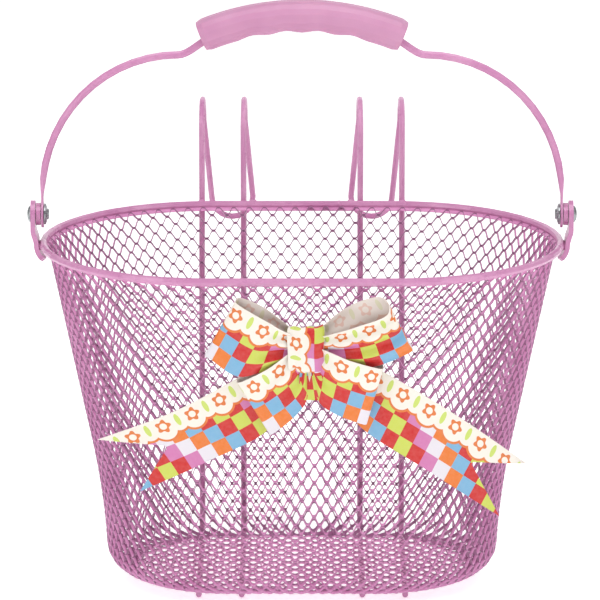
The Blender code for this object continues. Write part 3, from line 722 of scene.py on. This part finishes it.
def pleated_strip(path, shares, pleats, tuck, bulge):
    """x and z over a strip, and its layer. Where it is narrower than the ribbon, pleats take up the rest."""
    high = path[:, 0:2]
    low = path[:, 2:4]
    shown = 1.0 - tuck
    spread = np.minimum(shares, 2 * shown - shares) / shown
    flat = high[:, None, :] * (1 - spread[None, :, None]) + low[:, None, :] * spread[None, :, None]
    layer = path[:, 4:5] * (1 - spread) + path[:, 5:6] * spread
    if tuck:
        layer = layer - TUCK_DEPTH * np.clip((shares - shown) / TUCK_BLEND + 0.5, 0.0, 1.0)
    layer = layer - bulge * (2 * spread - 1.0) ** 2
    width = np.hypot(*(high - low).T)
    spare = np.clip(RIBBON_WIDTH * shown / width - 1.0, 0.0, MOST_SPARE)
    height = np.minimum(PLEAT_DEPTH, np.sqrt(spare) * width / (math.pi * pleats))
    waves = np.cos(2 * math.pi * pleats * shares + PLEAT_START)
    return flat, layer + height[:, None] * waves[None, :]


def length_along(path):
    """How far each row of the strip is from its first one, along its middle line."""
    middle_line = np.hstack(((path[:, 0:2] + path[:, 2:4]) / 2, (path[:, 4:5] + path[:, 5:6]) / 2))
    return np.hstack((0.0, np.cumsum(np.linalg.norm(np.diff(middle_line, axis=0), axis=1))))


def forked(flat, along, shares, notch):
    """The strip with both ends forked, by drawing the middle of its width in from each end."""
    gone = along[:, 0]
    fold = 1.0 - np.abs(2 * shares - 1.0)
    for end, inner, sign, from_end in ((0, 1, 1.0, gone), (-1, -2, -1.0, gone[-1] - gone)):
        heading = (flat[end] - flat[inner]).mean(axis=0)
        heading /= np.linalg.norm(heading)
        fading = np.clip(1.0 - from_end / (NOTCH_REACH * notch), 0.0, 1.0)
        cut = notch * fold[None, :] * fading[:, None]
        flat = flat - cut[:, :, None] * heading
        along = along + sign * cut
    return flat, along


def two_sides(grid, printed):
    """Points on the printed side and then on the reverse, half a sheet's thickness from the middle."""
    normal = np.cross(np.gradient(grid, axis=0), np.gradient(grid, axis=1))
    normal /= np.maximum(np.linalg.norm(normal, axis=2, keepdims=True), 1e-9)
    front = grid + normal * (printed * RIBBON_SHEET / 2)
    back = grid - normal * (printed * RIBBON_SHEET / 2)
    return np.vstack((front.reshape(-1, 3), back.reshape(-1, 3)))


def strip_faces(count, across, printed):
    """The printed side's faces, and then those of the reverse and the thin edge."""
    index = np.arange(count * across).reshape(count, across)
    corners = (index[:-1, 1:], index[1:, 1:], index[1:, :-1], index[:-1, :-1])
    if printed > 0:
        corners = (corners[2], corners[1], corners[0], corners[3])
    near = np.stack(corners, axis=-1).reshape(-1, 4)
    others = (near[:, ::-1] + index.size).tolist()
    rim = np.concatenate((index[0, :], index[1:, -1], index[-1, -2::-1], index[-2:0:-1, 0]))
    for i, j in zip(rim, np.roll(rim, -1)):
        others.append([int(i), int(j), int(j + index.size), int(i + index.size)])
    return near.tolist(), others


def turn_faces_out(mesh):
    """Gives all faces of a closed mesh the same direction, outwards."""
    form = bmesh.new()
    form.from_mesh(mesh)
    bmesh.ops.recalc_face_normals(form, faces=form.faces)
    form.to_mesh(mesh)
    form.free()


def ribbon(name, stations, node, printed, steps=10, across=22, pleats=2.5, notch=0.0, tuck=0.0,
           bulge=0.0, squares_out=False, recede=None):
    """A strip of ribbon through stations, each with its two edges' x and z and their layers in mm, border
    edge first. printed is +1 or -1, the printed side, tuck is the share of the width folded under, notch
    is how deep the ends fork, squares_out folds the border under in place of the check, and recede(x) is
    how far the strip follows the wall back."""
    path = through(stations, steps) / 1000.0
    shares = np.linspace(0.0, 1.0, across)
    flat, layer = pleated_strip(path, shares, pleats, tuck, bulge)
    gone = length_along(path)
    along = np.repeat(gone[:, None], across, axis=1)
    if notch:
        flat, along = forked(flat, along, shares, notch)
    if recede is not None:
        behind = recede(flat[:, :, 0])
        layer = layer - behind
        flat = flat - np.stack((np.zeros_like(behind), TAIL_DROOP * behind), axis=-1)
    grid = np.stack((flat[:, :, 0], -layer, flat[:, :, 1]), axis=-1)
    world = [BOW @ Vector(v) for v in two_sides(grid, printed)]
    near, others = strip_faces(len(path), across, printed)
    piece = new_piece(name, world, near + others, PRINT, "basket")
    piece.data.materials.append(PRINT_REVERSE)
    piece.data.polygons.foreach_set("material_index", [0] * len(near) + [1] * len(others))
    turn_faces_out(piece.data)
    piece.data.set_sharp_from_angle(angle=math.radians(50.0))
    from_border = 1.0 - shares if squares_out else shares
    over = np.repeat(from_border[None, :] * RIBBON_WIDTH, len(path), axis=0)
    place = np.stack((along, over, np.zeros_like(along)), axis=-1).reshape(-1, 3)
    attribute = piece.data.attributes.new("ribbon_place", "FLOAT_VECTOR", "POINT")
    attribute.data.foreach_set("vector", np.vstack((place, place)).astype(np.float32).ravel())
    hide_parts(node)


# Stations in mm: border edge x, z, other edge x, z, and the layers of the two edges. Each loop goes out
# behind, folds over and comes back in front, and its lower edge lies closer to the wall.
UPPER_LEFT = (
    (-4, 9.0, -4, -5.0, 8.0, 8.0), (-21, 22.5, -33, -9.0, 6.4, 6.0),
    (-34.5, 29.6, -49.3, -0.6, 7.4, 7.2), (-38.0, 29.0, -54.6, -2.6, 9.8, 9.2),
    (-35.4, 26.6, -51.0, -5.0, 12.2, 11.0), (-20, 17.6, -36.0, -14.4, 13.6, 11.6),
    (-10.5, 11.8, -15, -9.5, 12.4, 10.2), (-4, 8.0, -5, -5.5, 10.4, 9.2),
)
UPPER_RIGHT = (
    (4, 9.5, 4, -5.0, 8.0, 8.0), (20, 23.0, 31, -7.0, 6.2, 6.0),
    (36.5, 30.2, 52.5, 0.6, 7.4, 7.2), (43.2, 28.6, 57.0, 0.4, 9.8, 8.8),
    (42.5, 21.6, 53.5, -2.6, 12.2, 9.8), (27, 15.8, 35.5, -9.6, 13.6, 10.2),
    (12.5, 10.8, 15, -8.5, 12.6, 9.4), (4, 8.0, 5, -5.5, 10.4, 8.8),
)
LOWER_LEFT = (
    (-3, 3.0, -2, -9.0, 5.2, 5.2), (-20, -5.0, -5, -35.0, 4.4, 4.4),
    (-34.6, -16.6, -17.6, -47.6, 4.6, 4.6), (-37.6, -18.4, -20.0, -49.4, 6.2, 6.2),
    (-35.4, -19.0, -18.0, -49.4, 8.2, 8.0), (-21.5, -9.8, -5.0, -37.5, 12.2, 9.4),
    (-10.5, -1.0, 0.5, -27.0, 12.4, 10.2), (-4, 2.6, 0.5, -9.5, 10.8, 9.8),
)
LOWER_RIGHT = (
    (3, 3.0, 3, -9.0, 5.2, 5.2), (22, -2.5, 14, -34.0, 4.4, 4.4),
    (38.0, -8.6, 29.6, -41.8, 4.6, 4.6), (41.0, -9.4, 32.4, -43.4, 7.6, 6.6),
    (39.4, -9.8, 30.0, -43.6, 11.6, 8.6), (24, -4.2, 15.5, -37.0, 14.4, 10.0),
    (11.5, 1.2, 6.5, -29.5, 13.2, 10.6), (4, 3.4, 2, -12.5, 11.0, 9.8),
)
TAILS = (
    (-114.3, -55.7, -91.0, -86.2, 3.6, 3.6), (-72.5, -38.8, -55.0, -68.6, 3.4, 3.4),
    (-37.0, -18.6, -20.0, -48.4, 3.2, 3.0), (-15.0, -4.0, -9.0, -19.0, 2.6, 2.6),
    (0, 4.0, 0, -9.0, 2.6, 2.6), (15.0, -2.0, 11.0, -18.0, 2.6, 2.6),
    (42.0, -15.6, 28.5, -47.0, 3.2, 3.0), (81.5, -41.0, 66.0, -73.6, 3.4, 3.4),
    (121.2, -70.4, 105.8, -101.4, 3.8, 3.8),
)
KNOT_WRAP = (
    (-7.6, 9.0, 8.4, 9.0, 6.0, 6.0), (-9.4, 13.6, 9.0, 14.2, 10.2, 10.2),
    (-10.6, 11.4, 10.2, 12.0, 13.8, 14.0), (-10.2, 1.0, 9.6, 1.0, 15.4, 15.6),
    (-9.8, -9.2, 10.0, -9.8, 14.0, 14.0), (-8.2, -11.6, 8.6, -12.0, 10.6, 10.6),
    (-6.6, -8.0, 7.4, -8.0, 6.4, 6.4),
)
CENTRE_END = (
    (-3.0, -6.0, 7.0, -6.0, 9.6, 9.6), (-4.0, -16.0, 10.0, -15.0, 10.4, 10.4),
    (-4.0, -29.0, 13.0, -29.4, 9.2, 9.2),
)


def wall_recession(x):
    """Half of how far the wall has curved back behind the bow's flat plane, which the tails follow."""
    radius = float(wall_radius(TAIL_CURVE_Z))
    beyond = np.maximum(0.0, np.abs(x) - float(wall_half_straight(TAIL_CURVE_Z)))
    return 0.5 * (radius - np.sqrt(np.maximum(radius ** 2 - beyond ** 2, 0.0)))


def make_bow():
    tails, lower, upper = "bow_tails", "bow_lower_loops", "bow_upper_loops"
    ribbon("bow_tails_ribbon", TAILS, tails, -1, 12, notch=NOTCH, recede=wall_recession)
    ribbon("bow_lower_left_loop", LOWER_LEFT, lower, -1)
    ribbon("bow_lower_right_loop", LOWER_RIGHT, lower, 1)
    ribbon("bow_upper_left_loop", UPPER_LEFT, upper, -1)
    ribbon("bow_upper_right_loop", UPPER_RIGHT, upper, 1)
    ribbon("bow_centre_end", CENTRE_END, lower, 1, tuck=0.5, squares_out=True)
    ribbon("bow_knot_wrap", KNOT_WRAP, "bow_knot_band", 1, pleats=3.5, tuck=0.3, bulge=0.0022)


make_bow()


# ---------------------------------------------------------------- stage, light and camera

def studio_white():
    """Matt white paper, lit from within a little so that it stays pale all over."""
    nodes = Nodes("studio_white")
    shade = nodes.between(nodes.noise(3.0, 2.0), 0.3, 0.7, 0.0, 1.0)
    colour = nodes.mix(shade, (0.93, 0.93, 0.93), (0.90, 0.90, 0.90))
    return nodes.finish(colour, 0.9, emission_color=(1.0, 1.0, 1.0, 1.0), emission_strength=0.55)


def make_backdrop():
    """A floor that curves up into a wall behind."""
    depth, height, bend, half_width, steps = 4.6, 3.4, 1.2, 4.6, 12
    outline = [(-depth, 0.0), (depth - bend, 0.0)]
    for step in range(1, steps + 1):
        turn = math.pi / 2 * step / steps
        outline.append((depth - bend + bend * math.sin(turn), bend - bend * math.cos(turn)))
    outline.append((depth, height))
    below = 0.0005
    vertices = [(x, y, z - below) for y, z in outline for x in (-half_width, half_width)]
    faces = [(2 * i, 2 * i + 1, 2 * i + 3, 2 * i + 2) for i in range(len(outline) - 1)]
    mesh = bpy.data.meshes.new("backdrop")
    mesh.from_pydata(vertices, [], faces)
    mesh.polygons.foreach_set("use_smooth", [True] * len(mesh.polygons))
    mesh.materials.append(studio_white())
    backdrop = bpy.data.objects.new("backdrop", mesh)
    bpy.context.scene.collection.objects.link(backdrop)


def add_light(name, location, size, power, aim=(0.0, 0.0, 0.12)):
    """A soft box that faces the middle of the basket."""
    lamp = bpy.data.lights.new(name, "AREA")
    lamp.shape = "RECTANGLE"
    lamp.size, lamp.size_y = size
    lamp.energy = power
    light = bpy.data.objects.new(name, lamp)
    light.location = location
    light.rotation_euler = (Vector(aim) - Vector(location)).to_track_quat("-Z", "Y").to_euler()
    bpy.context.scene.collection.objects.link(light)


def make_studio():
    make_backdrop()
    add_light("softbox_over", (0.0, -0.35, 1.5), (1.6, 1.2), 14.0)
    add_light("softbox_left", (-1.4, -1.5, 1.0), (0.9, 1.2), 8.0)
    add_light("softbox_right", (1.5, -1.2, 0.8), (0.8, 1.2), 6.0)
    world = bpy.data.worlds.new("studio")
    world.use_nodes = True
    background = world.node_tree.nodes["Background"]
    background.inputs["Color"].default_value = (1.0, 1.0, 1.0, 1.0)
    background.inputs["Strength"].default_value = 0.35
    bpy.context.scene.world = world
    bpy.context.scene.view_settings.view_transform = "Standard"


def make_camera():
    back = Vector((0.0, -math.cos(VIEW_ELEVATION), math.sin(VIEW_ELEVATION)))
    lens = bpy.data.cameras.new("camera")
    lens.sensor_width = SENSOR
    lens.lens = LENS
    lens.clip_start, lens.clip_end = 0.05, 30.0
    camera = bpy.data.objects.new("camera", lens)
    camera.location = VIEW_TARGET + back * VIEW_DISTANCE
    camera.rotation_mode = "QUATERNION"
    camera.rotation_quaternion = (-back).to_track_quat("-Z", "Y")
    bpy.context.scene.collection.objects.link(camera)
    bpy.context.scene.camera = camera


make_studio()
make_camera()
